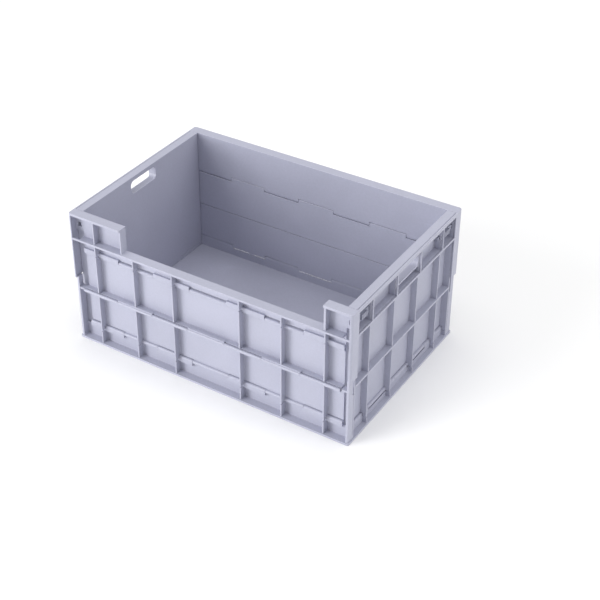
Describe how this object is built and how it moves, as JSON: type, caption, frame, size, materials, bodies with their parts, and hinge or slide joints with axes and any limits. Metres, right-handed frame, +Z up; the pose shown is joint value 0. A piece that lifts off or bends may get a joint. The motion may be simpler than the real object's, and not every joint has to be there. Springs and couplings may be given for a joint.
{
  "type": "collapsible storage crate",
  "caption": "Open-top ribbed plastic crate that collapses: long walls bifold inwards under a sinking rim frame, end walls fold flat, slide bolts lock it.",
  "frame": {"origin": "centre of the footprint, on the floor", "axes": "+X along the long side, +Z up, the front long side with the access opening at -Y"},
  "size_m": [0.6, 0.4, 0.28],
  "materials": {
    "crate_plastic": "light lavender-grey moulded polypropylene, fine matt texture",
    "bolt_plastic": "darker grey moulded plastic",
    "zinc_plated_steel": "bright zinc-plated rod"
  },
  "bodies": {
    "base": {"base_tray": "crate_plastic", "front_base_hinge_rod": "zinc_plated_steel", "back_base_hinge_rod": "zinc_plated_steel", "left_end_hinge_rod": "zinc_plated_steel", "right_end_hinge_rod": "zinc_plated_steel"},
    "front_lower": {"front_lower_leaf": "crate_plastic", "front_middle_hinge_rod": "zinc_plated_steel"},
    "front_upper": {"front_upper_leaf": "crate_plastic"},
    "back_lower": {"back_lower_leaf": "crate_plastic", "back_middle_hinge_rod": "zinc_plated_steel"},
    "back_upper": {"back_upper_leaf": "crate_plastic"},
    "rim": {"rim_frame": "crate_plastic", "front_rim_hinge_rod": "zinc_plated_steel", "back_rim_hinge_rod": "zinc_plated_steel"},
    "left_end": {"left_end_wall": "crate_plastic"},
    "right_end": {"right_end_wall": "crate_plastic"},
    "left_front_bolt": {"left_front_latch_bolt": "bolt_plastic"},
    "left_back_bolt": {"left_back_latch_bolt": "bolt_plastic"},
    "right_front_bolt": {"right_front_latch_bolt": "bolt_plastic"},
    "right_back_bolt": {"right_back_latch_bolt": "bolt_plastic"}
  },
  "joints": [
    {"name": "front_lower_leaf_fold", "type": "hinge", "parent": "base", "child": "front_lower", "pos_m": [0, -0.184, 0.0355], "axis": [-1, 0, 0], "range_deg": [0, 90]},
    {"name": "front_upper_leaf_fold", "type": "hinge", "parent": "front_lower", "child": "front_upper", "pos_m": [0, -0.197, 0.1155], "axis": [1, 0, 0], "range_deg": [0, 180]},
    {"name": "rim_frame_swing", "type": "hinge", "parent": "front_upper", "child": "rim", "pos_m": [0, -0.184, 0.1955], "axis": [-1, 0, 0], "range_deg": [0, 90]},
    {"name": "back_lower_leaf_fold", "type": "hinge", "parent": "base", "child": "back_lower", "pos_m": [0, 0.184, 0.0355], "axis": [1, 0, 0], "range_deg": [0, 90]},
    {"name": "back_upper_leaf_fold", "type": "hinge", "parent": "back_lower", "child": "back_upper", "pos_m": [0, 0.197, 0.1155], "axis": [-1, 0, 0], "range_deg": [0, 180]},
    {"name": "left_end_wall_fold", "type": "hinge", "parent": "base", "child": "left_end", "pos_m": [-0.284, 0, 0.0185], "axis": [0, 1, 0], "range_deg": [0, 90]},
    {"name": "right_end_wall_fold", "type": "hinge", "parent": "base", "child": "right_end", "pos_m": [0.284, 0, 0.0185], "axis": [0, -1, 0], "range_deg": [0, 90]},
    {"name": "left_front_bolt_slide", "type": "slide", "parent": "left_end", "child": "left_front_bolt", "axis": [0, 1, 0], "range_m": [-0.0045, 0]},
    {"name": "left_back_bolt_slide", "type": "slide", "parent": "left_end", "child": "left_back_bolt", "axis": [0, -1, 0], "range_m": [-0.0045, 0]},
    {"name": "right_front_bolt_slide", "type": "slide", "parent": "right_end", "child": "right_front_bolt", "axis": [0, 1, 0], "range_m": [-0.0045, 0]},
    {"name": "right_back_bolt_slide", "type": "slide", "parent": "right_end", "child": "right_back_bolt", "axis": [0, -1, 0], "range_m": [-0.0045, 0]}
  ],
  "couplings": [
    {"joint": "front_upper_leaf_fold", "follows": "front_lower_leaf_fold", "ratio": 2},
    {"joint": "rim_frame_swing", "follows": "front_lower_leaf_fold", "ratio": 1},
    {"joint": "back_lower_leaf_fold", "follows": "front_lower_leaf_fold", "ratio": 1},
    {"joint": "back_upper_leaf_fold", "follows": "front_lower_leaf_fold", "ratio": 2}
  ]
}
